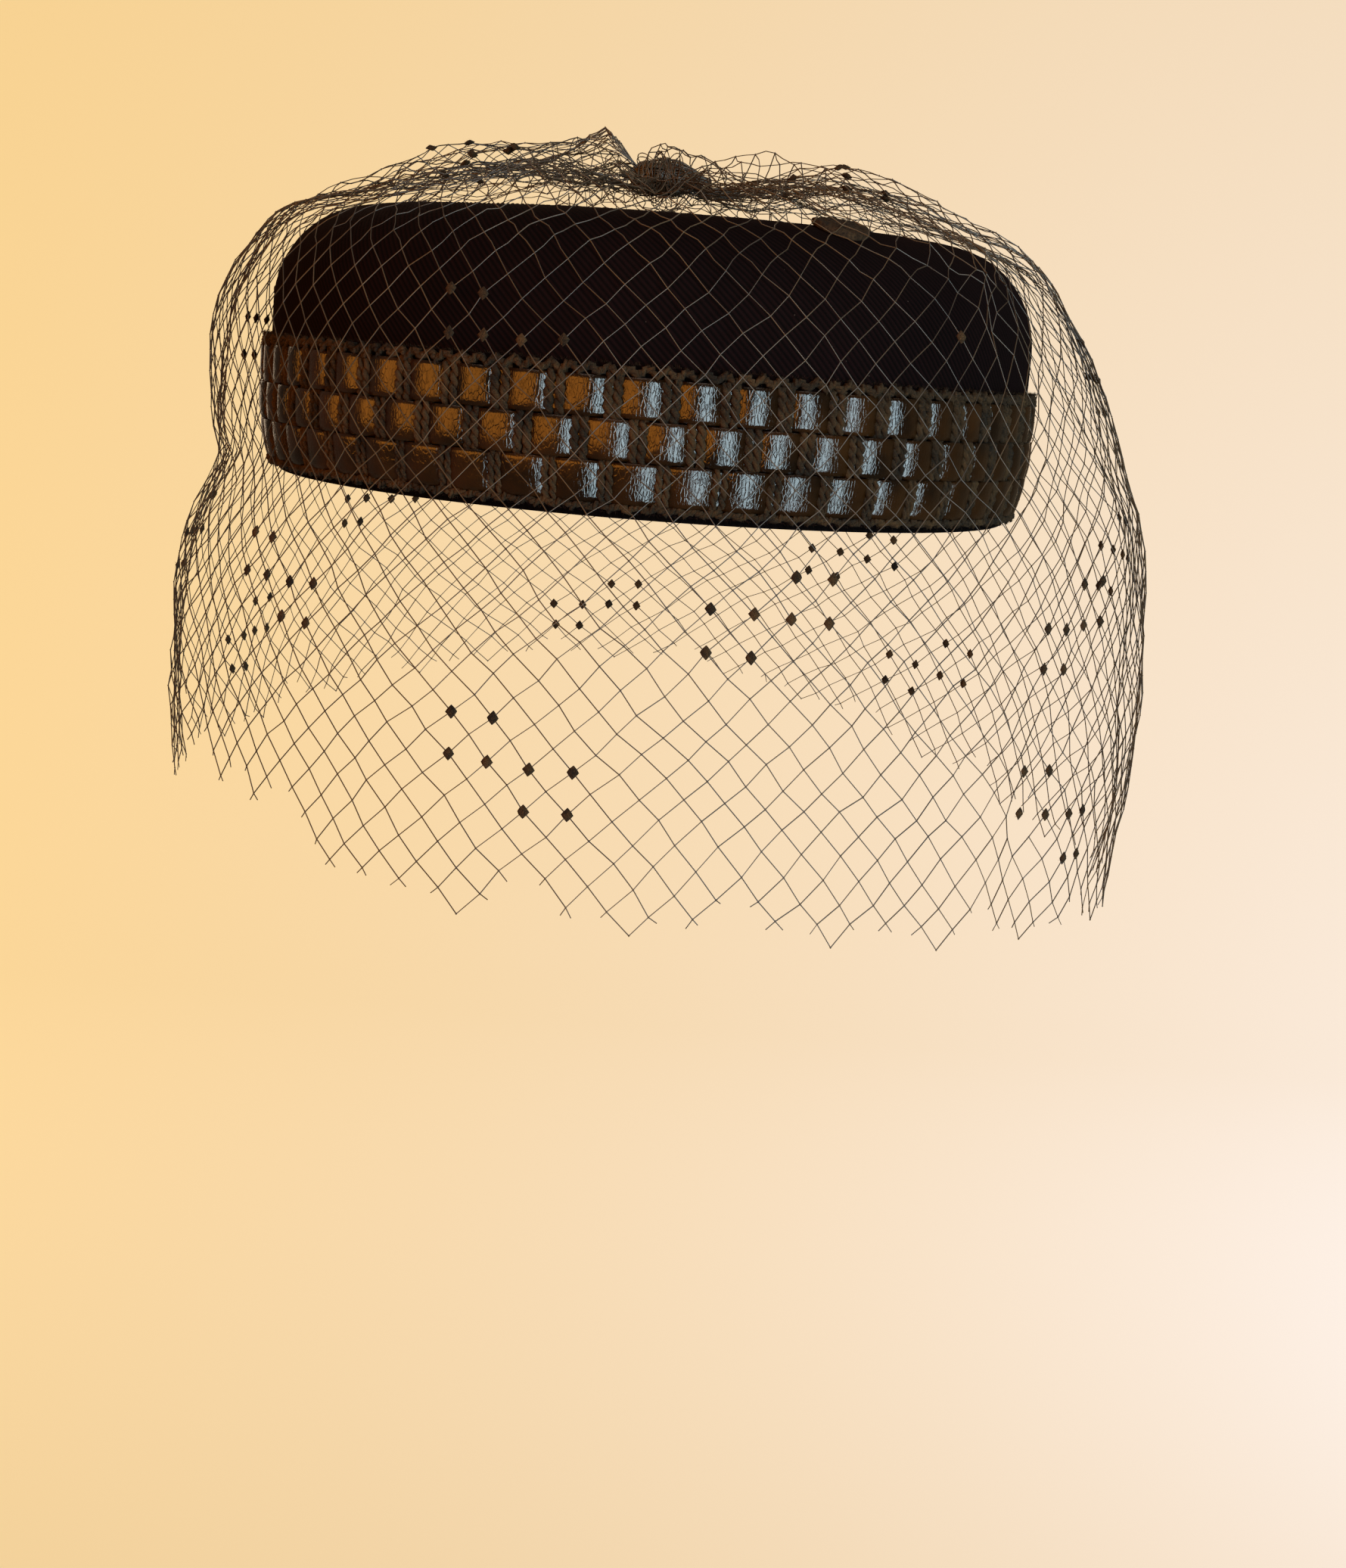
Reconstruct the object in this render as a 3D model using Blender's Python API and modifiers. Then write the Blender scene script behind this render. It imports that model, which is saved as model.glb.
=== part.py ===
"""Open-crown pillbox hat: a velvet ring, a three-row woven leather braid and a gathered net veil.

Metres, +Z up, the front of the hat towards -Y. The origin is the middle of the head opening,
in the plane of the rim, where the hat sits on a head.
"""

from math import cos, hypot, pi, sin, sqrt

import bmesh
import bpy
from mathutils import Matrix, Vector

# Velvet ring
CROWN_WIDTH = 0.173
CROWN_LENGTH = 0.193
CROWN_HEIGHT = 0.058
CROWN_WALL = 0.0025
RIM_TUCK = 0.0025
RIM_CURVE_HEIGHT = 0.016
SHOULDER_DEPTH = 0.0205
SHOULDER_HEIGHT = 0.022
TOP_FLAT = 0.0045
LIP_REACH = 0.003
LIP_DROP = 0.0045
CROWN_LEAN_SHARE = 0.016
CROWN_SEGMENTS = 48
SHOULDER_STEPS = 4

# Braid: three patent leather ribbons, threaded in and out of yarn, between two edge cords
BRAID_BASE = 0.0022
RIBBON_HEIGHT = 0.0074
RIBBON_THICKNESS = 0.0007
RIBBON_ROW_PITCH = 0.0081
RIBBON_TILES = 54
EDGE_CORD_DIAMETER = 0.0018
SEWN_CLEARANCE = 0.0003

# One row for each ribbon, from the lowest up: how far its tiles stand off the velvet, how much
# of the pitch a tile takes, and how far the row is turned, as a share of the pitch.
RIBBON_ROWS = (
    {"name": "ribbon_bottom", "bulge": 0.0017, "tile": 0.74, "shift": 0.30},
    {"name": "ribbon_middle", "bulge": 0.0018, "tile": 0.60, "shift": 0.62},
    {"name": "ribbon_top", "bulge": 0.0018, "tile": 0.56, "shift": 0.00},
)

# Net veil
VEIL_THICKNESS = 0.0010
VEIL_HOLE = 0.0042
VEIL_RISE = 0.0140
VEIL_FLARE = 0.0260
VEIL_DROP = 0.0740
VEIL_COLUMNS = 24
VEIL_ROWS = 6
VEIL_GAP_SHARE = 0.80
VEIL_FOLDS = 12
VEIL_FOLD_DEPTH = 0.0060
VEIL_CLEARANCE = 0.0004
# Where the net comes down on the velvet, as a share of the shoulder's depth in from the outline
VEIL_LANDING_SHARE = 0.80

# The veil over the crown, from the knot out. reach: share of the way to where the net lands.
# rise: share of VEIL_RISE above the crown's top. fold: share of VEIL_FOLD_DEPTH.
VEIL_TOP_SECTIONS = (
    {"reach": 0.00, "rise": 0.59, "fold": 0.00},
    {"reach": 0.27, "rise": 0.98, "fold": 0.25},
    {"reach": 0.52, "rise": 1.12, "fold": 0.55},
    {"reach": 0.77, "rise": 0.75, "fold": 0.85},
    {"reach": 1.00, "rise": 0.12, "fold": 1.00},
)
# The skirt of the veil, from the shoulder down. height: 1 to 2 up the crown's shoulder, 0 to 1
# up the wall below it, and 0 to -1 down from the rim to the hem. left, right, front and back:
# shares of VEIL_FLARE beyond the crown's outline. fold: share of VEIL_FOLD_DEPTH.
VEIL_SKIRT_SECTIONS = (
    {"height": 1.68, "left": 0.10, "right": 0.08, "front": 0.07, "back": 0.07, "fold": 0.75},
    {"height": 0.90, "left": 0.36, "right": 0.46, "front": 0.21, "back": 0.23, "fold": 0.40},
    {"height": -0.06, "left": 0.50, "right": 0.98, "front": 0.40, "back": 0.38, "fold": 0.30},
    {"height": -0.54, "left": 0.80, "right": 1.04, "front": 0.62, "back": 0.50, "fold": 0.40},
    {"height": -1.00, "left": 0.74, "right": 0.84, "front": 0.80, "back": 0.50, "fold": 0.60},
)
# The sections lie half a row of the net apart down to the crown's wall, and a whole row below.
VEIL_FINE_SECTIONS = 6
# How far the hem hangs on each side, as a share of VEIL_DROP
VEIL_HEM = {"left": 0.98, "right": 1.12, "front": 0.96, "back": 0.70}

# Knot that gathers the net, over the middle of the opening
KNOT_WIDTH = 0.0150
KNOT_LENGTH = 0.0100
KNOT_HEIGHT = 0.0088

# Small velvet patch that tacks the net to the crown
PATCH_WIDTH = 0.0105
PATCH_LENGTH = 0.0060
PATCH_HEIGHT = 0.0016
PATCH_TURN = 0.58

COLOURS = {
    "velvet": ((0.006, 0.005, 0.006), 0.95),
    "patent_leather": ((0.020, 0.014, 0.009), 0.22),
    "yarn": ((0.030, 0.021, 0.014), 0.90),
    "net": ((0.020, 0.013, 0.009), 0.60),
}


def material(name):
    """The named colour and roughness as a Principled material, made once."""
    found = bpy.data.materials.get(name)
    if found:
        return found
    made = bpy.data.materials.new(name)
    made.use_nodes = True
    colour, roughness = COLOURS[name]
    shader = made.node_tree.nodes["Principled BSDF"]
    shader.inputs["Base Color"].default_value = (*colour, 1)
    shader.inputs["Roughness"].default_value = roughness
    return made


def add_object(name, bm, finish, hat):
    """A new object of the hat from a bmesh, shaded smooth with sharp edges kept."""
    bmesh.ops.recalc_face_normals(bm, faces=bm.faces)
    mesh = bpy.data.meshes.new(name)
    bm.to_mesh(mesh)
    bm.free()
    mesh.shade_smooth()
    mesh.set_sharp_from_angle(angle=pi / 5)
    mesh.materials.append(material(finish))
    obj = bpy.data.objects.new(name, mesh)
    hat.objects.link(obj)
    return obj


def thicken(obj, thickness, offset):
    """Gives an open surface its wall."""
    wall = obj.modifiers.new("wall", "SOLIDIFY")
    wall.thickness = thickness
    wall.offset = offset
    wall.use_even_offset = True


def outline(turn, inset):
    """A point of the crown's oval in plan, that far in from its widest line. Turn 0 is the front."""
    return (CROWN_WIDTH / 2 - inset) * sin(turn), -(CROWN_LENGTH / 2 - inset) * cos(turn)


def leaned(x, y, height):
    """A point of the crown or the veil, which stand a little taller on the right."""
    return Vector((x, y, height * (1 + CROWN_LEAN_SHARE * 2 * x / CROWN_WIDTH)))


def shoulder_inset(height):
    """How far the outer wall has come in at a height: tucked in at the rim, rounded at the top."""
    shoulder = CROWN_HEIGHT - SHOULDER_HEIGHT
    if height < RIM_CURVE_HEIGHT:
        return RIM_TUCK * (1 - height / RIM_CURVE_HEIGHT) ** 2
    if height <= shoulder:
        return 0.0
    share = min((height - shoulder) / SHOULDER_HEIGHT, 1.0)
    return SHOULDER_DEPTH * (1 - sqrt(1 - share**2))


def crown_profile():
    """(inset, height) pairs up the outer wall, over the shoulder and down the lip of the opening."""
    shoulder = CROWN_HEIGHT - SHOULDER_HEIGHT
    points = [(shoulder_inset(RIM_CURVE_HEIGHT * k / 2), RIM_CURVE_HEIGHT * k / 2) for k in range(3)]
    for step in range(SHOULDER_STEPS + 1):
        angle = pi / 2 * step / SHOULDER_STEPS
        points.append((SHOULDER_DEPTH * (1 - cos(angle)), shoulder + SHOULDER_HEIGHT * sin(angle)))
    edge = SHOULDER_DEPTH + TOP_FLAT
    points.append((edge, CROWN_HEIGHT))
    points.append((edge + 0.7 * LIP_REACH, CROWN_HEIGHT - 0.3 * LIP_DROP))
    points.append((edge + LIP_REACH, CROWN_HEIGHT - LIP_DROP))
    return points


def loft(rings):
    """An open skin through closed rings of points, which all have the same number of points."""
    bm = bmesh.new()
    loops = [[bm.verts.new(point) for point in ring] for ring in rings]
    for lower, upper in zip(loops, loops[1:]):
        for k in range(len(lower)):
            bm.faces.new((lower[k - 1], lower[k], upper[k], upper[k - 1]))
    return bm


def make_crown(hat):
    """The velvet ring: one wall that rises from the rim, rounds over and turns into the opening."""
    turns = [2 * pi * number / CROWN_SEGMENTS for number in range(CROWN_SEGMENTS)]
    rings = [
        [leaned(*outline(turn, inset), height) for turn in turns]
        for inset, height in crown_profile()
    ]
    thicken(add_object("crown", loft(rings), "velvet", hat), CROWN_WALL, -1)


def ribbon_bulge(turn, row):
    """How far a ribbon stands off the velvet: out over a tile, in under the yarn beside it."""
    pitch = (turn / (2 * pi) * RIBBON_TILES + row["shift"]) % 1
    return row["bulge"] if abs(pitch - 0.5) < row["tile"] / 2 + 1e-6 else 0.0


def make_ribbon(hat, row, level):
    """One leather ribbon ring: a flat strip that waves out at each tile."""
    base = BRAID_BASE + level * RIBBON_ROW_PITCH
    tile_start = 0.5 - row["tile"] / 2
    turns = [
        2 * pi * (tile + place - row["shift"]) / RIBBON_TILES
        for tile in range(RIBBON_TILES)
        for place in (tile_start, 1 - tile_start, 1)
    ]

    def ribbon_edge(height):
        inset = shoulder_inset(height) - SEWN_CLEARANCE - RIBBON_THICKNESS / 2
        return [(*outline(turn, inset - ribbon_bulge(turn, row)), height) for turn in turns]

    bm = loft([ribbon_edge(base), ribbon_edge(base + RIBBON_HEIGHT)])
    thicken(add_object(row["name"], bm, "patent_leather", hat), RIBBON_THICKNESS, 0)


def make_edge_cord(hat, name, height):
    """The yarn chain along one edge of the braid, as a plain round cord."""
    radius = EDGE_CORD_DIAMETER / 2
    curve = bpy.data.curves.new(name, "CURVE")
    curve.dimensions = "3D"
    curve.bevel_depth = radius
    curve.bevel_resolution = 0
    spline = curve.splines.new("POLY")
    spline.points.add(CROWN_SEGMENTS - 1)
    spline.use_cyclic_u = True
    for number, point in enumerate(spline.points):
        turn = 2 * pi * number / CROWN_SEGMENTS
        out = SEWN_CLEARANCE + radius
        point.co = (*outline(turn, shoulder_inset(height) - out), height, 1)
    curve.materials.append(material("yarn"))
    hat.objects.link(bpy.data.objects.new(name, curve))


def make_braid(hat):
    """Three ribbons, one over the other, and the yarn chain above and below them."""
    for level, row in enumerate(RIBBON_ROWS):
        make_ribbon(hat, row, level)
    gap = SEWN_CLEARANCE + EDGE_CORD_DIAMETER / 2
    top = BRAID_BASE + (len(RIBBON_ROWS) - 1) * RIBBON_ROW_PITCH + RIBBON_HEIGHT
    make_edge_cord(hat, "edge_cord_top", top + gap)
    make_edge_cord(hat, "edge_cord_bottom", BRAID_BASE - gap)


def around(turn, values):
    """Blends a value for the front, back, left and right smoothly round the hat."""
    ahead = values["front"] if cos(turn) > 0 else values["back"]
    aside = values["right"] if sin(turn) > 0 else values["left"]
    return ahead * cos(turn) ** 2 + aside * sin(turn) ** 2


def veil_section(turn, section):
    """(plan distance from the middle, height, fold depth) of one section of the veil at a turn."""
    if "reach" in section:
        landing = hypot(*outline(turn, VEIL_LANDING_SHARE * SHOULDER_DEPTH))
        reach = VEIL_HOLE + (landing - VEIL_HOLE) * section["reach"]
        top = CROWN_HEIGHT + VEIL_CLEARANCE
        return reach, top + VEIL_RISE * section["rise"], section["fold"]
    reach = hypot(*outline(turn, -VEIL_FLARE * around(turn, section)))
    share = section["height"]
    wall = CROWN_HEIGHT - SHOULDER_HEIGHT
    if share < 0:
        height = share * VEIL_DROP * around(turn, VEIL_HEM)
    else:
        height = min(share, 1) * wall + max(share - 1, 0) * SHOULDER_HEIGHT
    return reach, height, section["fold"]


def veil_point(turn, row):
    """A point of the veil that many rows out from the knot, with the folds standing out of it."""
    sections = VEIL_TOP_SECTIONS + VEIL_SKIRT_SECTIONS
    fine_rows = VEIL_FINE_SECTIONS / 2
    number = 2 * row if row < fine_rows else row + fine_rows
    start = min(int(number + 1e-9), len(sections) - 2)
    first, second = (veil_section(turn, section) for section in sections[start : start + 2])
    reach, height, depth = (a + (b - a) * (number - start) for a, b in zip(first, second))
    along = Vector((second[0] - first[0], second[1] - first[1])).normalized()
    fold = VEIL_FOLD_DEPTH * depth * (1 + cos(VEIL_FOLDS * turn)) / 2
    # The folds stand up over the opening, and out on the skirt.
    reach -= fold * along.y
    height += fold * along.x
    plan = Vector(outline(turn, 0)).normalized() * reach
    return leaned(*plan, height)


def midpoint(first, second):
    """The point halfway between two (turn, row) points."""
    return tuple((a + b) / 2 for a, b in zip(first, second))


def diamond(column, row):
    """A diamond of the net as (turn, row) points, with a point midway along its curved edges."""
    step = 2 * pi / VEIL_COLUMNS
    middle = step * (column + (row + 1) % 2 / 2)
    corners = [(middle, row - 1), (middle + step / 2, row), (middle, row + 1), (middle - step / 2, row)]
    points = []
    for corner, following in zip(corners, corners[1:] + corners[:1]):
        points.append(corner)
        if min(corner[1], following[1]) < VEIL_FINE_SECTIONS / 2:
            points.append(midpoint(corner, following))
    return (middle, row), points


def make_veil(hat):
    """The net as a coarse lattice shell: diamonds, each with a gap cut through it."""
    bm = bmesh.new()

    def vertices(points):
        return [bm.verts.new(veil_point(*point)) for point in points]

    for row in range(1, VEIL_ROWS):
        for column in range(VEIL_COLUMNS):
            middle, rim = diamond(column, row)
            gap = [[m + (p - m) * VEIL_GAP_SHARE for m, p in zip(middle, point)] for point in rim]
            outer, inner = vertices(rim), vertices(gap)
            for k in range(len(rim)):
                after = (k + 1) % len(rim)
                bm.faces.new((outer[k], outer[after], inner[after], inner[k]))
    # Next to the knot the net is too close to leave gaps.
    step = 2 * pi / VEIL_COLUMNS
    for column in range(VEIL_COLUMNS):
        top, side = (step * column, 0), (step * (column + 0.5), 1)
        following = (step * (column + 1), 0)
        upper, lower = midpoint(top, side), midpoint(following, side)
        bm.faces.new(vertices((top, upper, lower, following)))
        bm.faces.new(vertices((upper, side, lower)))
    bmesh.ops.remove_doubles(bm, verts=bm.verts, dist=1e-5)
    thicken(add_object("veil", bm, "net", hat), VEIL_THICKNESS, 0)


def make_knot(hat):
    """The bound bundle of gathered net over the middle of the opening."""
    # The bundle sinks into the hole of the net until its underside meets the hole's edge.
    sunk = KNOT_HEIGHT / 2 * (1 - sqrt(max(1 - (2 * VEIL_HOLE / KNOT_WIDTH) ** 2, 0)))
    seat = veil_point(0, 0).z + VEIL_THICKNESS / 2 + SEWN_CLEARANCE
    bm = bmesh.new()
    bmesh.ops.create_uvsphere(bm, u_segments=14, v_segments=8, radius=0.5)
    size = Matrix.Diagonal((KNOT_WIDTH, KNOT_LENGTH, KNOT_HEIGHT, 1))
    bmesh.ops.transform(bm, matrix=size, verts=bm.verts)
    knot = add_object("veil_knot", bm, "net", hat)
    knot.location.z = seat - sunk + KNOT_HEIGHT / 2


def make_patch(hat):
    """The velvet patch on the crown's front edge that tacks the net down."""
    bm = bmesh.new()
    bmesh.ops.create_uvsphere(bm, u_segments=12, v_segments=6, radius=0.5)
    size = Matrix.Diagonal((PATCH_WIDTH, PATCH_LENGTH, PATCH_HEIGHT, 1))
    bmesh.ops.transform(bm, matrix=size, verts=bm.verts)
    patch = add_object("tack_patch", bm, "velvet", hat)
    place = outline(PATCH_TURN, SHOULDER_DEPTH + TOP_FLAT / 2)
    patch.location = leaned(*place, CROWN_HEIGHT)
    patch.location.z += SEWN_CLEARANCE + PATCH_HEIGHT / 2
    patch.rotation_euler.z = PATCH_TURN


def main():
    for obj in list(bpy.data.objects):
        bpy.data.objects.remove(obj)
    hat = bpy.data.collections.new("pillbox_hat")
    bpy.context.scene.collection.children.link(hat)
    make_crown(hat)
    make_braid(hat)
    make_veil(hat)
    make_knot(hat)
    make_patch(hat)


main()
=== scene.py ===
"""Velvet pillbox hat with a woven leather braid and a gathered net veil: the look of every piece.

Metres, +Z up, the front of the hat towards -Y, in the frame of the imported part. Sizes are
written in millimetres and turned to metres with MM.
"""

from math import cos, exp, hypot, pi, radians, sin, sqrt, tau

import bmesh
import bpy
import numpy as np
from mathutils import Euler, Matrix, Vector, noise


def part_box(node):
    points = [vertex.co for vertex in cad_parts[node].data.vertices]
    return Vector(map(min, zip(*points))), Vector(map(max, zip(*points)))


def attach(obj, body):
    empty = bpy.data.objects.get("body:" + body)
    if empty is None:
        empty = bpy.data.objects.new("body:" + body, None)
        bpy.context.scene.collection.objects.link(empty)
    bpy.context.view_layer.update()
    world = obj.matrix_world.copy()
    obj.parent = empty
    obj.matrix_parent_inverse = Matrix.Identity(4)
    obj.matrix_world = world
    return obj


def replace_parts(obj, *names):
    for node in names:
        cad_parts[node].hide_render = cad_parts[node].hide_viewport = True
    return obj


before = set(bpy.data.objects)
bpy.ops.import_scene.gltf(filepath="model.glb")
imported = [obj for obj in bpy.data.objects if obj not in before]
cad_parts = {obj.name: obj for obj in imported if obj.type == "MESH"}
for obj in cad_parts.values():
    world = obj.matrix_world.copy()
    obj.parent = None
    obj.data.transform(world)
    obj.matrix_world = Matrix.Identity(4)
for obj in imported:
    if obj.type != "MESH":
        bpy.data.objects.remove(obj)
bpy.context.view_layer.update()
bpy.ops.object.select_all(action="DESELECT")
MM = 0.001
# noise_vector differs from run to run unless it has a seed.
noise.seed_set(8)


# Crown. A ring of black cotton velvet, cut on the bias and drawn over a stiff foundation, open at
# the top. Its pile stands in fine ribs, which slant down to the right from the lip to the rim.
crown_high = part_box("crown")[1]
half_width, half_length = crown_high.x, crown_high.y
lean = 0.016
shoulder_depth, shoulder_height = 20.5 * MM, 22 * MM
crown_top = crown_high.z / (1 + lean * (1 - shoulder_depth / half_width))
shoulder_base = crown_top - shoulder_height
rim_tuck, rim_curve = 2.5 * MM, 16 * MM
top_flat, lip_reach, lip_drop = 4.5 * MM, 3 * MM, 4.5 * MM
crown_wall = 2.5 * MM
rib_spacing, rib_height = 1.05 * MM, 0.18 * MM
pile_clump = 1.6 * MM
wall_levels, shoulder_levels, lip_levels = 19, 17, 5
# The ribs fade over the last few levels of the lip.
faded_levels = 4


def oval(turn, inset=0.0):
    """A point of the hat's oval in plan. Turn 0 is the front, and a quarter turn the right."""
    return (half_width - inset) * sin(turn), -(half_length - inset) * cos(turn)


def even_turn(share):
    """The turn that lies that share of the way round the oval, as measured along its edge."""
    stretch = (half_length - half_width) / (2 * (half_length + half_width))
    return tau * share + stretch * sin(2 * tau * share)


def leaned(x, y, z):
    """A point of the crown or veil, which stand a little taller on the right."""
    return Vector((x, y, z * (1 + lean * x / half_width)))


def wall_inset(z):
    """How far in from its widest line the velvet's wall stands at a height below the shoulder."""
    return rim_tuck * (1 - z / rim_curve) ** 2 if z < rim_curve else 0.0


def linear(code):
    """An sRGB hex colour as Blender's linear one."""
    parts = [int(code[k : k + 2], 16) / 255 for k in (1, 3, 5)]
    return (*[p / 12.92 if p < 0.04045 else ((p + 0.055) / 1.055) ** 2.4 for p in parts], 1)


def add_node(finish, kind, links, **settings):
    """Adds a node to a material, or with kind None sets its shader. A link is a value or a socket."""
    nodes = finish.node_tree.nodes
    node = nodes.new("ShaderNode" + kind) if kind else nodes["Principled BSDF"]
    for name, value in settings.items():
        setattr(node, name, value)
    for name, value in links.items():
        if isinstance(value, bpy.types.NodeSocket):
            finish.node_tree.links.new(value, node.inputs[name])
        else:
            node.inputs[name].default_value = value
    return node


def new_finish(name):
    """An empty node material."""
    finish = bpy.data.materials.new(name)
    finish.use_nodes = True
    return finish


def add_piece(name, points, faces, finish, nodes=(), grain=()):
    """A piece of the hat from its points and faces, which stands for the named CAD nodes.

    grain is an attribute that the material reads: on the leather each point's place in its pattern, on the
    velvet a mark of the rib crests, which it paints lighter as a painted highlight.
    """
    mesh = bpy.data.meshes.new(name)
    mesh.from_pydata(points, [], faces)
    mesh.shade_smooth()
    if grain:
        pattern = mesh.attributes.new("grain", "FLOAT_VECTOR", "POINT")
        pattern.data.foreach_set("vector", np.array(grain, dtype=np.float32).ravel())
    mesh.materials.append(finish)
    piece = bpy.data.objects.new(name, mesh)
    bpy.context.scene.collection.objects.link(piece)
    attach(piece, "root")
    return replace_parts(piece, *nodes) if nodes else piece


def ring_faces(rings, columns, closed):
    """Faces between rings of points that run round the hat, facing out where the rings go up."""
    return [
        (
            ring * columns + column,
            ring * columns + (column + 1) % columns,
            (ring + 1) % rings * columns + (column + 1) % columns,
            (ring + 1) % rings * columns + column,
        )
        for ring in range(rings if closed else rings - 1)
        for column in range(columns)
    ]


def crown_profile():
    """(inset, height, ribbing) once round the wall: up the outside, over the lip and down inside."""
    outside = [(wall_inset(z), z) for z in np.linspace(0, shoulder_base, wall_levels)]
    for angle in np.linspace(0, pi / 2, shoulder_levels)[1:]:
        inset = shoulder_depth * (1 - cos(angle))
        outside.append((inset, shoulder_base + shoulder_height * sin(angle)))
    outside += [(shoulder_depth + top_flat * k / 3, crown_top) for k in (1, 2, 3)]
    edge = shoulder_depth + top_flat
    for angle in np.linspace(0, pi / 2, lip_levels)[1:]:
        outside.append((edge + lip_reach * sin(angle), crown_top - lip_drop * (1 - cos(angle))))
    slopes = [Vector(after) - Vector(before) for before, after in zip(outside, outside[1:])]
    slopes.append(slopes[-1])
    # The unseen inside follows every third point of the outside.
    inside = [
        (inset + slope.normalized().y * crown_wall, z - slope.normalized().x * crown_wall)
        for (inset, z), slope in zip(outside, slopes)
    ][::-3]

    def rolled(start, end, away):
        """Three points of a half circle between two ends, bulging that way."""
        middle, half = (Vector(start) + Vector(end)) / 2, (Vector(start) - Vector(end)) / 2
        turned = Vector(away).normalized() * half.length
        return [middle + half * cos(a) + turned * sin(a) for a in (pi / 4, pi / 2, 3 * pi / 4)]

    lip = rolled(outside[-1], inside[0], slopes[-1])
    rim = rolled(inside[-1], outside[0], (0, -1))
    faded = len(outside) - faded_levels
    ribbed = [(*point, 1.0 if k < faded else 0.5) for k, point in enumerate(outside)]
    return ribbed + [(*point, 0.0) for point in [*lip, *inside, *rim]]


def make_crown(finish):
    """The velvet's whole wall, with two columns of points to each slanting rib."""
    profile = crown_profile()
    around = pi * (half_width + half_length)
    columns = 2 * round(around / (rib_spacing * sqrt(2)))
    points, grain, climbed = [], [], 0.0
    for ring, (inset, z, ribbing) in enumerate(profile):
        before = profile[max(ring - 1, 0)]
        step = Vector((inset - before[0], z - before[1]))
        climbed += step.length if ribbing else 0.0
        out, up = (step.y, step.x) if step.length else (1.0, 0.0)
        size = hypot(out, up) or 1.0
        for column in range(columns):
            turn = even_turn(column / columns - climbed / around)
            spot = leaned(*oval(turn, inset), z)
            ragged = 0.7 + 0.5 * noise.noise(spot / pile_clump)
            ridge = ribbing * rib_height * ragged * (1 if column % 2 else -1)
            plain = Vector((sin(turn) * out / size, -cos(turn) * out / size, up / size))
            points.append(spot + plain * ridge)
            # grain marks the rib crests, which the velvet paints lighter as a painted highlight
            grain.append((ribbing * (column % 2), 0, 0))
    faces = ring_faces(len(profile), columns, closed=True)
    return add_piece("crown_velvet", points, faces, finish, ["crown"], grain)


# Cut pile that swallows light face on and shows a faint brown bloom at a grazing angle, with
# the odd speck of lint. A scale is the number of repeats in a metre, so the pile's clumps are
# about 0.7 mm wide, which is coarser than real ones, so that they show.
velvet = new_finish("black_cotton_velvet")
spot = add_node(velvet, "TexCoord", {}).outputs["Object"]
pile = add_node(velvet, "TexNoise", {"Vector": spot, "Scale": 1400, "Detail": 4, "Roughness": 0.7})
nap = add_node(velvet, "TexNoise", {"Vector": spot, "Scale": 45, "Detail": 3})
shading = add_node(
    velvet, "MixRGB", {"Fac": 0.45, "Color1": pile.outputs["Fac"], "Color2": nap.outputs["Fac"]}
)
# The rib crests are painted lighter than the valleys between them, a painted highlight. The grain
# attribute is 1 on the crests and 0 in the valleys and on the unribbed inside and rim, and it is mixed
# half and half with the pile's noise.
rib = add_node(velvet, "Attribute", {}, attribute_name="grain")
painted_crest_highlight = add_node(velvet, "SeparateXYZ", {"Vector": rib.outputs["Vector"]})
pile_shading_and_crest_highlight = add_node(
    velvet, "MixRGB", {"Fac": 0.5, "Color1": shading.outputs["Color"], "Color2": painted_crest_highlight.outputs["X"]}
)
tone = add_node(velvet, "ValToRGB", {"Fac": pile_shading_and_crest_highlight.outputs["Color"]})
tone.color_ramp.elements[0].position = 0.3
tone.color_ramp.elements[0].color = linear("#030101")
tone.color_ramp.elements[1].position = 0.85
tone.color_ramp.elements[1].color = linear("#120606")
lint = add_node(velvet, "TexVoronoi", {"Vector": spot, "Scale": 190})
speck = add_node(
    velvet, "MapRange", {"Value": lint.outputs["Distance"], "From Min": 0.035, "From Max": 0.02}
)
dusted = add_node(
    velvet,
    "MixRGB",
    {"Fac": speck.outputs["Result"], "Color1": tone.outputs["Color"], "Color2": linear("#332823")},
)
rough_pile = add_node(
    velvet, "Bump", {"Height": pile.outputs["Fac"], "Strength": 0.6, "Distance": 0.25 * MM}
)
add_node(
    velvet,
    None,
    {
        "Base Color": dusted.outputs["Color"],
        "Roughness": 0.92,
        "Specular IOR Level": 0.05,
        "Sheen Weight": 0.02,
        "Sheen Roughness": 0.4,
        "Sheen Tint": linear("#8a6a5c"),
        "Normal": rough_pile.outputs["Normal"],
    },
)
make_crown(velvet)


# Leather ribbons. Three strips of thin near-black patent leather run round the lower half of
# the crown. Each waves out over a tile and in under the yarn beside it, so the tiles are
# convex, and the lowest strip rounds under towards the rim.
ribbon_tiles = 52
ribbon_thickness = 0.7 * MM
# How far off the velvet the dips of the ribbons and the yarn are sewn down
sewn = 0.3 * MM
# A tile and its gap, as the leather's pattern counts them along the strip
tile_pitch = 10.7 * MM
tile_steps, ribbon_levels = 16, 9
edge_overlap, edge_curl = 0.2 * MM, 0.1 * MM
crease_spacing, crease_depth = 1.3 * MM, 0.07 * MM
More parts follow.
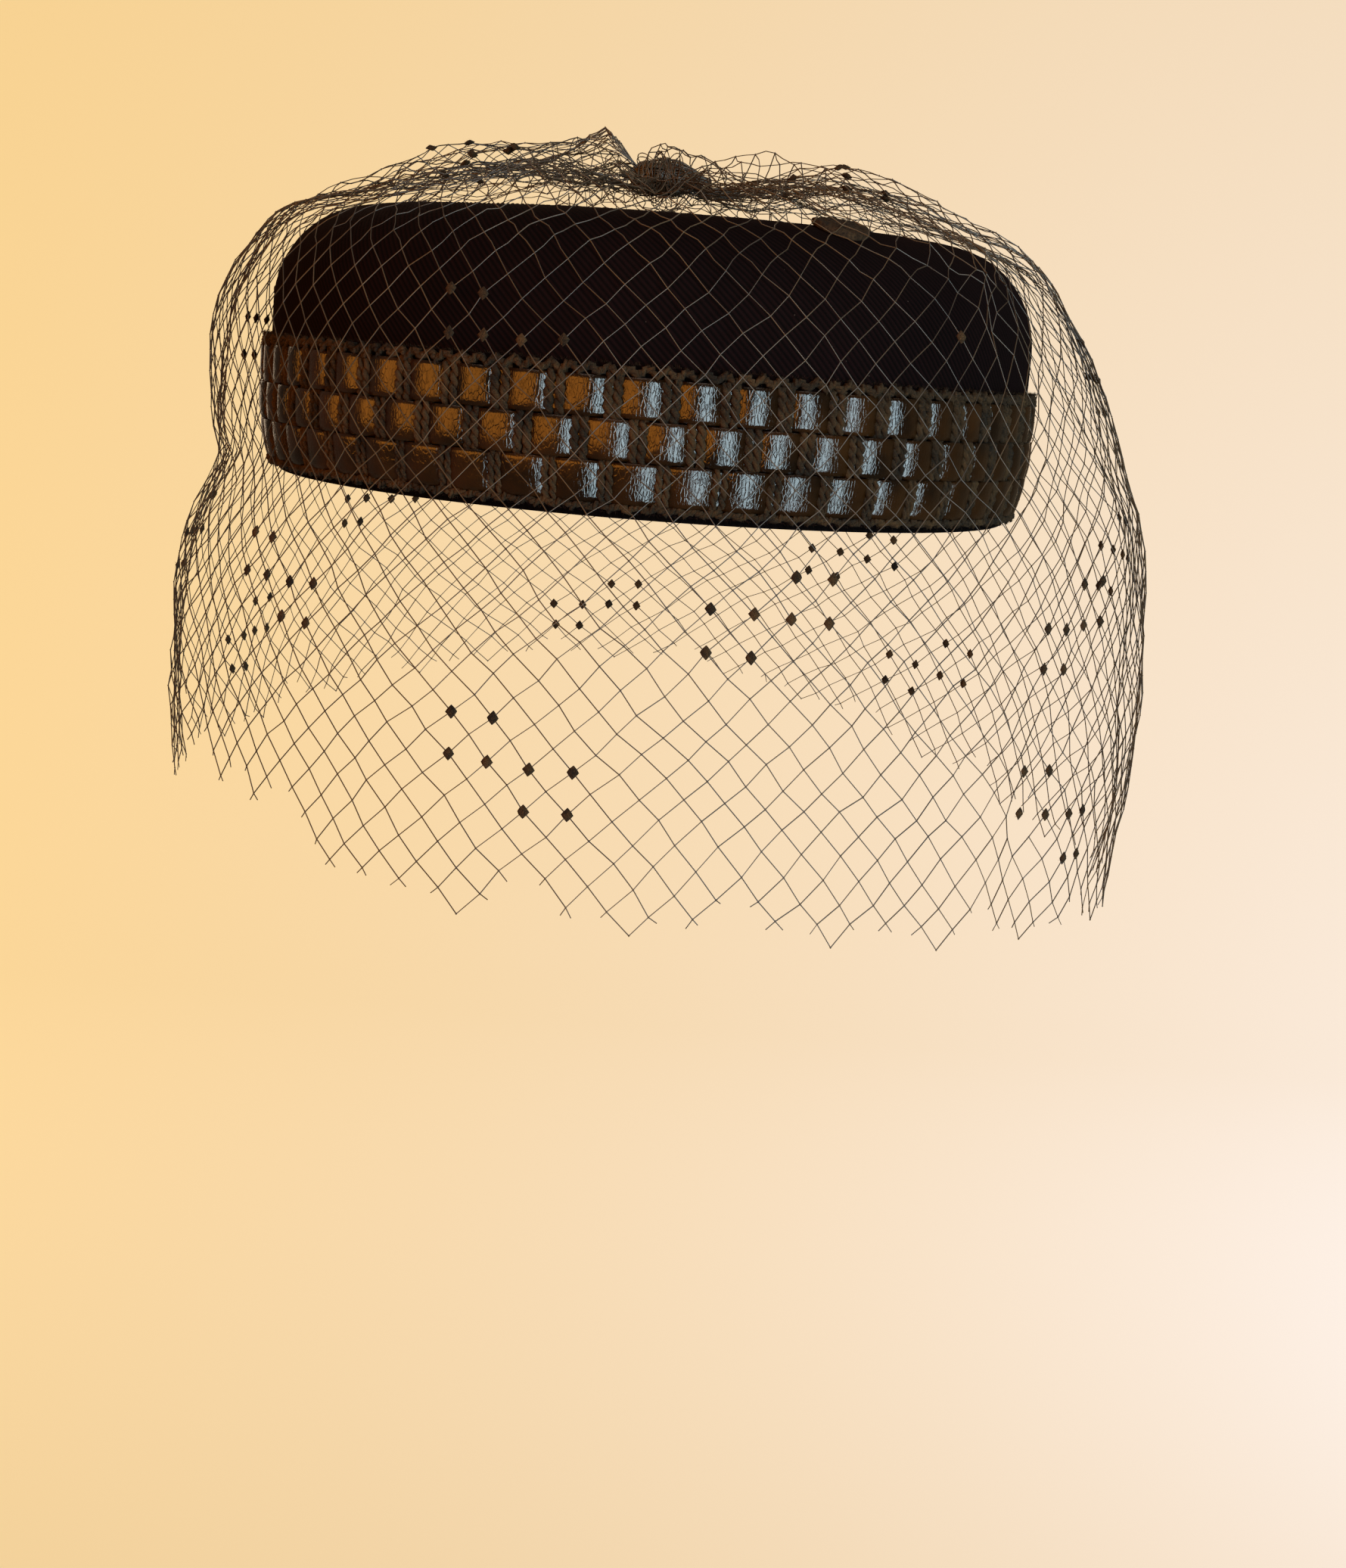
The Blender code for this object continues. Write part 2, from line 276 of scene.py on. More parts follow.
# bulge: how far a tile stands out. tile: its share of the pitch. centre: how far the row is
# shifted, in tiles. pillow: how much its lower edge rounds under.
ribbon_rows = (
    {"node": "ribbon_bottom", "bulge": 1.3 * MM, "tile": 0.86, "centre": 0.06, "pillow": 0.06},
    {"node": "ribbon_middle", "bulge": 1.45 * MM, "tile": 0.80, "centre": -0.42, "pillow": 0.12},
    {"node": "ribbon_top", "bulge": 1.45 * MM, "tile": 0.78, "centre": 0.11, "pillow": 0.12},
)


def on_wall(turn, z, out):
    """A point that stands so far out from the velvet's wall."""
    return Vector((*oval(turn, wall_inset(z) - out), z))


def make_ribbon(row, finish):
    """One ribbon as a closed strip: its front from the lower edge to the upper, then its back."""
    low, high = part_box(row["node"])
    steps, levels = tile_steps, ribbon_levels
    # reach runs from -1 to 1 along each tile, and across from -1 to 1 up the strip.
    columns = ribbon_tiles * steps
    points, grain = [], []
    for level in [*range(levels), levels - 1, 0]:
        front = len(points) < columns * levels
        across = 2 * level / (levels - 1) - 1
        for column in range(columns):
            share = (column / steps + row["centre"]) / ribbon_tiles + 0.5
            tile, phase = divmod(column / steps + 0.5, 1)
            reach = (phase - 0.5) / (row["tile"] / 2)
            seed = Vector((tile % ribbon_tiles, row["bulge"] * 3000, 0))
            swell = row["bulge"] * (1 + 0.12 * noise.noise(seed + Vector((0.3, 0.7, 0))))
            arch = max(0.0, 1 - abs(reach) ** 2.2) ** 0.85
            droop = 1 - row["pillow"] * max(0.0, -across) ** 2 - 0.07 * abs(across) ** 6
            z = (low.z + high.z) / 2 + ((high.z - low.z) / 2 + edge_overlap) * across
            z += (noise.noise(seed * 1.7) - across * (1 - arch)) * edge_curl
            turn = even_turn(share)
            crease = noise.noise(on_wall(turn, z, 0) / crease_spacing) * crease_depth * arch
            out = sewn + swell * arch * droop + (ribbon_thickness + crease if front else 0.0)
            points.append(on_wall(turn, z, out))
            grain.append((column / steps * tile_pitch, z, out))
    faces = ring_faces(levels + 2, columns, closed=True)
    name = row["node"] + "_leather"
    return add_piece(name, points, faces, finish, [row["node"]], grain)


# Patent leather: a clear glossy film over near-black brown hide. Fine wrinkles run across the
# strip and break up its highlights, over a web of creases under a millimetre apart.
patent = new_finish("crinkled_patent_leather")
strip = add_node(patent, "Attribute", {}, attribute_name="grain")
across = add_node(patent, "Mapping", {"Vector": strip.outputs["Vector"], "Scale": (1.0, 0.42, 1.0)})
cloud = add_node(patent, "TexNoise", {"Vector": strip.outputs["Vector"], "Scale": 110, "Detail": 4})
tone = add_node(patent, "ValToRGB", {"Fac": cloud.outputs["Fac"]})
tone.color_ramp.elements[0].position = 0.35
tone.color_ramp.elements[0].color = linear("#0e0602")
tone.color_ramp.elements[1].position = 0.7
tone.color_ramp.elements[1].color = linear("#281505")
crazing = add_node(
    patent, "TexVoronoi", {"Vector": across.outputs["Vector"], "Scale": 1500}, feature="DISTANCE_TO_EDGE"
)
wrinkle = add_node(
    patent,
    "TexNoise",
    {"Vector": across.outputs["Vector"], "Scale": 900, "Detail": 4, "Roughness": 0.6, "Distortion": 1.2},
)
groove = add_node(patent, "MapRange", {"Value": crazing.outputs["Distance"], "From Max": 0.14})
relief = add_node(
    patent, "MixRGB", {"Fac": 0.3, "Color1": wrinkle.outputs["Fac"], "Color2": groove.outputs["Result"]}
)
creased = add_node(
    patent, "Bump", {"Height": relief.outputs["Color"], "Strength": 0.8, "Distance": 0.11 * MM}
)
shine = add_node(patent, "MapRange", {"Value": cloud.outputs["Fac"], "To Min": 0.1, "To Max": 0.22})
add_node(
    patent,
    None,
    {
        "Base Color": tone.outputs["Color"],
        "Roughness": shine.outputs["Result"],
        "Specular IOR Level": 0.35,
        "Coat Weight": 0.3,
        "Coat Roughness": 0.07,
        "Normal": creased.outputs["Normal"],
        "Coat Normal": creased.outputs["Normal"],
    },
)
for row in ribbon_rows:
    make_ribbon(row, patent)


# Yarn wraps. Between the tiles the yarn crosses in front of each ribbon, two plied strands side
# by side, and dives behind the ribbons above and below. It is dark olive brown chenille wool.
ply_twist = 4.2 * MM
wrap_steps, wrap_sides = 10, 6
# How far a wrap runs on behind the rows above and below
wrap_tuck = 0.7 * MM
# The share of the pitch that a tile and a wrap fill between them, where their edges overlap
filled_share = 1.13


def add_thread(points, faces, line, radius, sides, closed=False):
    """Adds a round thread along a line of points to a mesh's lists.

    The line runs round, up or down the hat, and never straight out from its middle.
    """
    start, count = len(points), len(line)
    for number, middle in enumerate(line):
        if closed:
            behind, ahead = line[number - 1], line[(number + 1) % count]
        else:
            behind, ahead = line[max(number - 1, 0)], line[min(number + 1, count - 1)]
        along = (ahead - behind).normalized()
        out = Vector((middle.x, middle.y, 0)).normalized()
        side = along.cross(out).normalized()
        out = along.cross(side)
        for corner in range(sides):
            angle = tau * corner / sides
            points.append(middle + (side * cos(angle) + out * sin(angle)) * radius)
    for ring in range(count if closed else count - 1):
        lower, upper = start + ring * sides, start + (ring + 1) % count * sides
        for corner in range(sides):
            after = (corner + 1) % sides
            faces.append((lower + corner, lower + after, upper + after, upper + corner))
    if not closed:
        faces.append([start + corner for corner in reversed(range(sides))])
        faces.append([start + (count - 1) * sides + corner for corner in range(sides)])


def plied(line, radius, twist, begin, closed=False):
    """The lines of two plies that wind round a line of points, and their own radius."""
    plies, travelled = ([], []), 0.0
    for number, middle in enumerate(line):
        behind = line[max(number - 1, 0)]
        ahead = line[(number + 1) % len(line)] if closed else line[min(number + 1, len(line) - 1)]
        travelled += (middle - behind).length
        along = (ahead - behind).normalized()
        out = Vector((middle.x, middle.y, 0)).normalized()
        side = along.cross(out).normalized()
        for which, ply in enumerate(plies):
            angle = tau * travelled / twist + begin + pi * which
            ply.append(middle + (side * cos(angle) + out * sin(angle)) * radius * 0.5)
    return plies, radius * 0.54


def make_wraps(finish):
    """Two plied strands in every space between tiles, arched out over the ribbon's dip."""
    points, faces = [], []
    for number, row in enumerate(ribbon_rows):
        low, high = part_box(row["node"])
        gap = (filled_share - row["tile"]) / ribbon_tiles
        width = gap * pi * (half_width + half_length)
        for tile in range(ribbon_tiles):
            for strand in (-0.25, 0.25):
                seed = Vector((tile * 3.1, number * 5.7, strand * 9))
                share = (tile + 0.5 + row["centre"]) / ribbon_tiles + 0.5 + gap * strand
                share += gap * 0.08 * noise.noise(seed)
                line = []
                for step in range(wrap_steps + 1):
                    rise = step / wrap_steps
                    z = low.z - wrap_tuck + (high.z - low.z + 2 * wrap_tuck) * rise
                    arch = sin(pi * rise) ** 0.5
                    out = sewn + (0.2 + (0.75 + 0.25 * noise.noise(seed * 2)) * arch) * MM
                    sway = 0.1 * gap * noise.noise(seed + Vector((rise * 2, 0, 0)))
                    line.append(on_wall(even_turn(share + sway), z, out))
                plies, radius = plied(line, width * 0.31, ply_twist, 2.6 * tile + 1.3 * number)
                for ply in plies:
                    add_thread(points, faces, ply, radius, wrap_sides)
    return add_piece("yarn_wraps", points, faces, finish)


# Wool chenille: matt and olive brown, with random dye tone. Its colour follows the fibre bump, lighter
# where it stands up and darker in its hollows, as painted light and painted shade
chenille = new_finish("olive_brown_chenille_yarn")
spot = add_node(chenille, "TexCoord", {}).outputs["Object"]
strand = add_node(
    chenille, "TexNoise", {"Vector": spot, "Scale": 2300, "Detail": 3, "Roughness": 0.75, "Distortion": 2}
)
dye = add_node(chenille, "TexNoise", {"Vector": spot, "Scale": 160, "Detail": 2})
# The fibre noise that drives the bump also drives the colour: painted shade in its hollows and painted
# light on its raised hairs, mixed with the random dye tone
dye_and_painted_fibre_shade = add_node(
    chenille, "MixRGB", {"Fac": 0.4, "Color1": strand.outputs["Fac"], "Color2": dye.outputs["Fac"]}
)
tone = add_node(chenille, "ValToRGB", {"Fac": dye_and_painted_fibre_shade.outputs["Color"]})
tone.color_ramp.elements[0].position = 0.42
tone.color_ramp.elements[0].color = linear("#0a0603")
tone.color_ramp.elements[1].position = 0.62
tone.color_ramp.elements[1].color = linear("#4b341b")
hairy = add_node(
    chenille, "Bump", {"Height": strand.outputs["Fac"], "Strength": 1.0, "Distance": 0.5 * MM}
)
add_node(
    chenille,
    None,
    {
        "Base Color": tone.outputs["Color"],
        "Roughness": 0.95,
        "Specular IOR Level": 0.2,
        "Sheen Weight": 0.06,
        "Sheen Roughness": 0.5,
        "Sheen Tint": linear("#a58a6a"),
        "Normal": hairy.outputs["Normal"],
    },
)
make_wraps(chenille)


# Crochet edging. Along the top of the braid, and more tightly along its foot, two plied strands
# cross in small scallops, three to a tile.
scallops = 3 * ribbon_tiles
scallop_steps, edging_sides = 6, 5
edging_radius, edging_twist = 0.95 * MM, 2.4 * MM


def make_edging(name, node, height, rise, finish):
    """Two plied strands that wave up and down past each other, at a height above a CAD cord."""
    low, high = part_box(node)
    points, faces = [], []
    count = scallops * scallop_steps
    for which in (0, 1):
        line = []
        for number in range(count):
            share = number / count
            wave = tau * share * scallops / 2 + pi * which
            uneven = 1 + 0.3 * noise.noise(Vector((share * 90, which * 7, 3)))
            z = (low.z + high.z) / 2 + height + rise * (abs(sin(wave)) * uneven - 0.5)
            out = sewn + (0.85 + 0.45 * cos(wave)) * MM
            line.append(on_wall(even_turn(share), z, out))
        plies, radius = plied(line, edging_radius, edging_twist, 0, closed=True)
        for ply in plies:
            add_thread(points, faces, ply, radius, edging_sides, closed=True)
    return add_piece(name, points, faces, finish, [node])


make_edging("edging_top", "edge_cord_top", -0.1 * MM, 1.7 * MM, chenille)
make_edging("edging_bottom", "edge_cord_bottom", 0.15 * MM, 0.9 * MM, chenille)


# Yarn fuzz. Loose wool hairs stand off the edging and the wraps, a millimetre or so long, and
# blur their outline. They are drawn twice as thick as real ones, so that they show.
hair_radius = 0.03 * MM
# Steps that spread places evenly and never repeat: round by one, and up or down by the other
even_step, second_step = 0.618034, 0.754878
# The shares of the hairs that stand on the top edging and on either edging
top_share, edging_share = 0.4, 0.62


def make_fuzz(name, roots, length, finish):
    """A curved tapering hair at each root, a (point, direction) pair."""
    points, faces = [], []
    for number, (root, away) in enumerate(roots):
        drift = noise.noise_vector(root / (0.7 * MM) + Vector((number * 0.37, 0, 0)))
        reach = length * (0.6 + 0.6 * abs(drift.x))
        middle = root + (away + drift * 1.1).normalized() * reach * 0.5
        tip = middle + (away * 0.4 + drift * 1.8).normalized() * reach * 0.5
        side = (middle - root).orthogonal().normalized() * hair_radius
        across = (middle - root).normalized().cross(side)
        start = len(points)
        for place, share in ((root, 1.0), (middle, 0.8)):
            points += [place + side * share, place - (side - across) * 0.5 * share, place - across * share]
        points.append(tip)
        for corner in range(3):
            after = (corner + 1) % 3
            faces.append((start + corner, start + after, start + 3 + after, start + 3 + corner))
            faces.append((start + 3 + corner, start + 3 + after, start + 6))
        faces.append((start + 2, start + 1, start))
    return add_piece(name, points, faces, finish)


def yarn_roots(count):
    """Places for hairs on the edging and the wraps, spread evenly by fixed steps."""
    foot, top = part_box("edge_cord_bottom")[0].z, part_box("edge_cord_top")[1].z
    places = []
    for number in range(count):
        turn = even_turn(number * even_step % 1)
        pick = number * second_step % 1
        if pick < top_share:
            z, lift = top + 0.4 * MM, 0.8
        elif pick < edging_share:
            z, lift = foot + 0.3 * MM, -0.4
        else:
            z, lift = foot + (top - foot) * pick, 0
        away = Vector((sin(turn), -cos(turn), lift))
        places.append((on_wall(turn, max(z, 0), 1.6 * MM), away.normalized()))
    return places


make_fuzz("yarn_fuzz", yarn_roots(5200), 1.5 * MM, chenille)


# Net veil. Nine-inch diamond netting of fine nylon, in cells of about 8 mm, is drawn together at
# a knot over the open top. It puffs up in gathers across the opening, comes down on the
# velvet's shoulder and hangs free round the ring, smooth in front and in folds at the sides.
net_columns = 96
# Lengths of net are in millimetres from the knot, and those round it at this many to a radian.
net_depth, net_round = 221, 95
loose_cell, gathered_stretch = 7.9, 2.2
# A little thicker than real thread, so that it shows
strand_radius = 0.119 * MM
# Where the net comes down on the shoulder, and how far out it leaves the gathered knot
landing_inset = 0.8 * shoulder_depth
hole = 3.5 * MM
# One row for each section of the net, from the knot out. net: millimetres of net from the knot.
# reach: share of the way from the knot to the shoulder. rise: millimetres above the crown's top.
# fold: how far the gathers stand up from there, in millimetres.
top_sections = (
    {"net": 0, "reach": 0.00, "rise": 11.0, "fold": 1.0},
    {"net": 9, "reach": 0.11, "rise": 7.8, "fold": 3.5},
    {"net": 19, "reach": 0.26, "rise": 6.8, "fold": 6.5},
    {"net": 37, "reach": 0.52, "rise": 6.8, "fold": 9.5},
    {"net": 56, "reach": 0.79, "rise": 4.4, "fold": 8.5},
    {"net": 73, "reach": 1.00, "rise": 1.0, "fold": 5.5},
)
# height: share of the shoulder's height, or of the wall and the drop below it where negative.
# left, right, front, back: millimetres out from the crown's outline.
skirt_sections = (
    {"net": 82, "height": 0.92, "left": -6.0, "right": -6.5, "front": -10.8, "back": -9.5, "fold": 4.2},
    {"net": 92, "height": 0.68, "left": 1.0, "right": 1.0, "front": -3.8, "back": -3.0, "fold": 3.4},
    {"net": 110, "height": -0.05, "left": 9.6, "right": 12.5, "front": 2.2, "back": 3.0, "fold": 3.4},
    {"net": 134, "height": -0.72, "left": 10.2, "right": 24.0, "front": 5.6, "back": 6.4, "fold": 3.6},
    {"net": 145, "height": -1.0, "left": 8.6, "right": 28.4, "front": 8.6, "back": 8.8, "fold": 3.2},
    {"net": 164, "height": -1.25, "left": 15.4, "right": 30.5, "front": 11.8, "back": 11.2, "fold": 3.4},
    {"net": 193, "height": -1.62, "left": 17.4, "right": 31.0, "front": 17.4, "back": 13.0, "fold": 4.0},
    {"net": 221, "height": -2.0, "left": 14.4, "right": 27.6, "front": 22.0, "back": 12.6, "fold": 4.6},
)
hem_drop = {"left": 74.0, "right": 84.0, "front": 77.0, "back": 56.0}
# Where the net is drawn together in a tangle over the velvet, right of the front: turn, net, size
tangle_turn, tangle_net, tangle_size = 0.80, 96, 15


def blended(turn, values):
    """A value given for the front, back, left and right, blended smoothly round the hat."""
    ahead = values["front"] if cos(turn) > 0 else values["back"]
    aside = values["right"] if sin(turn) > 0 else values["left"]
    return ahead * cos(turn) ** 2 + aside * sin(turn) ** 2


def wrapped(turn):
    """A turn as the nearest one to the front."""
    return (turn + pi) % tau - pi


def share_past(value, start, end):
    """How far a value has come from start to end, from 0 to 1."""
    return min(max((value - start) / (end - start), 0), 1)


def net_profile(turn):
    """The net's sections at a turn, as rows of net length, plan distance, height and fold."""
    landing = hypot(*oval(turn, landing_inset))
    rows = []
    for section in top_sections:
        reach = hole + (landing - hole) * section["reach"]
        rows.append((section["net"], reach, crown_top + section["rise"] * MM, section["fold"]))
    for section in skirt_sections:
        reach = hypot(*oval(turn, -blended(turn, section) * MM))
        share = section["height"]
        if share > 0:
            height = shoulder_base + shoulder_height * share
        elif share > -1:
            height = shoulder_base * (1 + share)
        else:
            height = (share + 1) * blended(turn, hem_drop) * MM
        rows.append((section["net"], reach, height, section["fold"] * (0.25 + 0.9 * sin(turn) ** 2)))
    return rows


def smooth_row(rows, length):
    """The row at a net length, on a smooth curve through the rows."""
    start = max(k for k in range(len(rows) - 1) if rows[k][0] <= length + 1e-6)
    before, first = rows[max(start - 1, 0)], rows[start]
    second, after = rows[start + 1], rows[min(start + 2, len(rows) - 1)]
    gap = second[0] - first[0]
    t = (length - first[0]) / gap
    found = []
    for a, b, c, d in list(zip(before, first, second, after))[1:]:
        slope_in = (c - a) / max(second[0] - before[0], 1e-6) * gap
        slope_out = (d - b) / max(after[0] - first[0], 1e-6) * gap
        found.append(
            (2 * t**3 - 3 * t**2 + 1) * b
            + (t**3 - 2 * t**2 + t) * slope_in
            + (3 * t**2 - 2 * t**3) * c
            + (t**3 - t**2) * slope_out
        )
    return found


def fold_height(turn, length):
    """How far a fold of the net stands out at a place, from 0 to 1: tight gathers by the knot."""
    drift = 1.3 * noise.noise(Vector((cos(turn) * 2, sin(turn) * 2, length / 45)))
    tight = 0.5 + 0.5 * sin(23 * turn + 4 * drift + 0.4)
    loose = 0.5 + 0.5 * sin(17 * turn + 5 * drift + 1.9)
    broad = 0.5 + 0.5 * sin(11 * turn + 3 * drift + 0.7)
    hanging = share_past(length, 50, 110)
    return (1 - hanging) * (0.5 * tight + 0.5 * broad) + hanging * (0.45 * loose + 0.55 * broad)


def net_point(turn, length):
    """A point of the veil, by its turn and its millimetres of net from the knot."""
    rows = net_profile(turn)
    reach, height, depth = smooth_row(rows, length)
    ahead_reach, ahead_height, _ = smooth_row(rows, min(length + 1, net_depth))
    along = Vector((ahead_reach - reach, ahead_height - height))
    along = along.normalized() if along.length else Vector((0, -1))
    fold = depth * MM * fold_height(turn, length)
    # A peaked loop of net stands up left of the knot.
    peak = exp(-((wrapped(turn + 1.75) / 0.4) ** 2)) * 13.5 * MM
    fold += peak * (length / 8) * exp(1 - length / 8)
    # The tangle hangs a little way off the velvet.
    away = hypot(wrapped(turn - tangle_turn) * net_round, length - tangle_net) / tangle_size
    fold += 3.5 * MM * exp(-(away**2))
    reach += -along.y * fold
    height += along.x * fold
    spot = leaned(*(Vector(oval(turn)).normalized() * reach), height)
    crumple = 0.4 + 1.4 * exp(-length / 40) + 2.2 * exp(-(away**2))
    return spot + noise.noise_vector(spot / (5.5 * MM)) * crumple * MM


def net_lengths():
    """The net length of each half row of knots. Cells stand taller where they are gathered."""
    lengths = [0.0]
    while lengths[-1] < net_depth - 3.8:
        gathered = 1 - share_past(lengths[-1], 40, 100)
        lengths.append(lengths[-1] + (loose_cell + gathered_stretch * gathered) / 2)
    return [length * net_depth / lengths[-1] for length in lengths]


def net_knots():
    """The place of every knot of the net, by half row and column."""
    knots = {}
    for row, length in enumerate(net_lengths()):
        # Columns stand wide in front and behind, and close together in the folds at the sides.
        crowding = 0.27 - 0.2 * share_past(length, 100, 220)
        for column in range(net_columns):
            share = (column + row % 2 / 2) / net_columns
            share += 0.006 * sin(tau * share * 2 + 0.6) * (length - 90) / 130
            share += 0.2 * noise.noise(Vector((column * 0.45, row * 0.4, 4.2))) / net_columns
            turn = even_turn(share + crowding * sin(2 * tau * share) / (2 * tau))
            # The rows run unevenly, but meet at the knot.
            uneven = 1.3 * noise.noise(Vector((column * 0.35, row * 0.4, 9.1)))
            along = length + uneven * min(length / 10, 1)
            # The tangle draws the knots round it together.
            turn_off, net_off = wrapped(turn - tangle_turn), along - tangle_net
            pull = 0.55 * exp(-((hypot(turn_off * net_round, net_off) / tangle_size) ** 2))
            along = min(max(along - net_off * pull, 0), net_depth)
            knots[row, column] = net_point(turn - turn_off * pull, along)
    return knots


def cut_away(row, column, rows):
    """Whether a knot is gone: cut off by the stepped hem, torn out of it or from a broken cell."""
    step = (0, 1, 1, 2, 1, 0, 1, 1, 0, 1, 2, 1)[column % 12]
    # The cut runs higher left of the front.
    step += round(3.2 * exp(-(((column - 83) / 5) ** 2)))
    return rows - 1 - row < step or (rows - row, column) in torn_knots


# (half rows up from the hem, column): a notch torn at the left, and a broken cell at the right
torn_knots = {(1, 72), (2, 72), (3, 72), (4, 72), (2, 73), (3, 73), (4, 73), (5, 73), (7, 11)}


def make_net(knots, finish):
    """Every strand between two knots as a four-sided thread, and every knot as a small bead."""
    points, faces = [], []
    rows = max(row for row, _ in knots) + 1

    def add_strand(line, radius):
        """Adds a thread whose open ends lie in the beads, or at the hem."""
        first = len(points)
        for number, place in enumerate(line):
            along = (line[min(number + 1, len(line) - 1)] - line[max(number - 1, 0)]).normalized()
            side = along.cross(Vector((0.36, 0.48, 0.8))).normalized() * radius
            across = along.cross(side)
            points.extend((place + side, place + across, place - side, place - across))
        for ring in range(first, len(points) - 4, 4):
            for corner in range(4):
                after = (corner + 1) % 4
                faces.append((ring + corner, ring + after, ring + 4 + after, ring + 4 + corner))

    for (row, column), here in knots.items():
        if cut_away(row, column, rows):
            continue
        first = len(points)
        points.extend(here + Vector(step) * strand_radius * 1.8 for step in bead_corners)
        faces.extend(tuple(first + corner for corner in face) for face in bead_faces)
        for beside in (column, column + (1 if row % 2 else -1)) if row + 1 < rows else ():
            there = knots[row + 1, beside % net_columns]
            if cut_away(row + 1, beside % net_columns, rows):
                # A frayed end is left of a strand whose other knot is gone.
                end = here + (there - here) * 0.35
                add_strand([here, end + noise.noise_vector(end / MM) * MM], strand_radius * 0.9)
                continue
            line = [here, there]
            if row < bent_rows:
                middle = (here + there) / 2
                line.insert(1, middle + noise.noise_vector(middle / (3 * MM)) * 0.9 * MM)
            add_strand(line, strand_radius)
    return add_piece("veil_net", points, faces, finish, ["veil"])


# Strands bend between their knots in the gathered rows alone.
bent_rows = 20
bead_corners = ((1, 0, 0), (0, 1, 0), (-1, 0, 0), (0, -1, 0), (0, 0, 1.2), (0, 0, -1.2))
bead_faces = ((0, 1, 4), (1, 2, 4), (2, 3, 4), (3, 0, 4), (1, 0, 5), (2, 1, 5), (3, 2, 5), (0, 3, 5))

# Nylon thread with a slight gloss, dark brown and faded unevenly
nylon = new_finish("dark_brown_nylon_net")
spot = add_node(nylon, "TexCoord", {}).outputs["Object"]
faded = add_node(nylon, "TexNoise", {"Vector": spot, "Scale": 60, "Detail": 3})
tone = add_node(nylon, "ValToRGB", {"Fac": faded.outputs["Fac"]})
tone.color_ramp.elements[0].position = 0.35
tone.color_ramp.elements[0].color = linear("#1e150b")
tone.color_ramp.elements[1].position = 0.7
tone.color_ramp.elements[1].color = linear("#3f301c")
add_node(
    nylon,
    None,
    {
        "Base Color": tone.outputs["Color"],
        "Roughness": 0.45,
        "Specular IOR Level": 0.6,
        "Sheen Weight": 0.1,
        "Sheen Tint": linear("#b09a88"),
    },
)
knots = net_knots()
veil = make_net(knots, nylon)


# Chenille dots. Groups of eight fuzzy brown dots are worked on the net's knots, two, four and
# two to a group, with the pairs at opposite ends of the four.

# The four's half row, its first column, and a hand: 1 where the upper pair is over the left end,
# -1 where it is over the right end, and 0 for a group that has no lower pair
dot_groups = (
    (24, 91, 0), (24, 22, 1), (24, 37, 1), (24, 52, 1), (24, 66, 1),
    (36, 2, -1), (36, 12, -1), (34, 26, 1), (38, 39, 1), (36, 57, 1), (37, 71, 1), (37, 84, 1),
    (44, 92, 1), (45, 11, 1), (45, 35, 1), (46, 48, 1), (45, 64, 1),
    (9, 80, 1), (8, 14, 1),
)
lone_dots = ((23, 8),)
# Half sizes of a dot along, across and out of the net, in millimetres, and its number of hairs
dot_long, dot_wide, dot_thick = 1.35, 1.1, 0.5
dot_hairs = 14


def dotted_knots(groups):
    """The knots that carry a dot, as (half row, column)."""
    for row, column, hand in groups:
        upper, lower = ((2, 3), (0, 1)) if hand < 0 else ((0, 1), (2, 3) if hand else ())
        for down, steps in ((-2, upper), (0, (0, 1, 2, 3)), (2, lower)):
            for step in steps:
                yield row + down, (column + step) % net_columns


def make_dots(places, finish):
    """A small fuzzy diamond round each knot, lying along the net."""
    points, faces, roots = [], [], []
    for row, column in places:
        middle = knots[row, column]
        up = (knots[row - 2, column] - knots[row + 2, column]).normalized()
        beside = knots[row, (column + 1) % net_columns] - knots[row, (column - 1) % net_columns]
        out = beside.cross(up).normalized()
        side = out.cross(up)
        first = len(points)
        for ring in range(5):
            rise = (-1, -0.45, 0, 0.45, 1)[ring]
            for corner in range(8):
                angle = tau * corner / 8
                wide = (1 - abs(rise)) ** 0.8 + 0.08
                spot = middle + up * rise * dot_long * MM
                spot += (side * cos(angle) * dot_wide + out * sin(angle) * dot_thick) * wide * MM
                points.append(spot + noise.noise_vector(spot / (0.5 * MM)) * 0.16 * MM)
        for ring in range(4):
            for corner in range(8):
                after = (corner + 1) % 8
                low, high = first + ring * 8, first + ring * 8 + 8
                faces.append((low + corner, low + after, high + after, high + corner))
        faces.append([first + corner for corner in reversed(range(8))])
        faces.append([first + 32 + corner for corner in range(8)])
        for number in range(dot_hairs):
            angle = tau * number / dot_hairs
            away = side * cos(angle) * 0.8 + up * sin(angle) + out * (0.5 if number % 2 else -0.5)
            roots.append((middle + away * 0.45 * MM, away.normalized()))
    add_piece("veil_dots", points, faces, finish)
    make_fuzz("dot_fuzz", roots, 1.0 * MM, finish)


make_dots([*dotted_knots(dot_groups), *lone_dots], chenille)


# Gathered knot. The middle of the net is bunched into a dark bundle over the opening, laid in
# strands from end to end, and bound round its left half with more of the same thread.
bundle_rings, bundle_columns = 17, 28
lengthwise_strands, binding_turns, loose_loops = 46, 24, 26
golden_angle = 2.39996


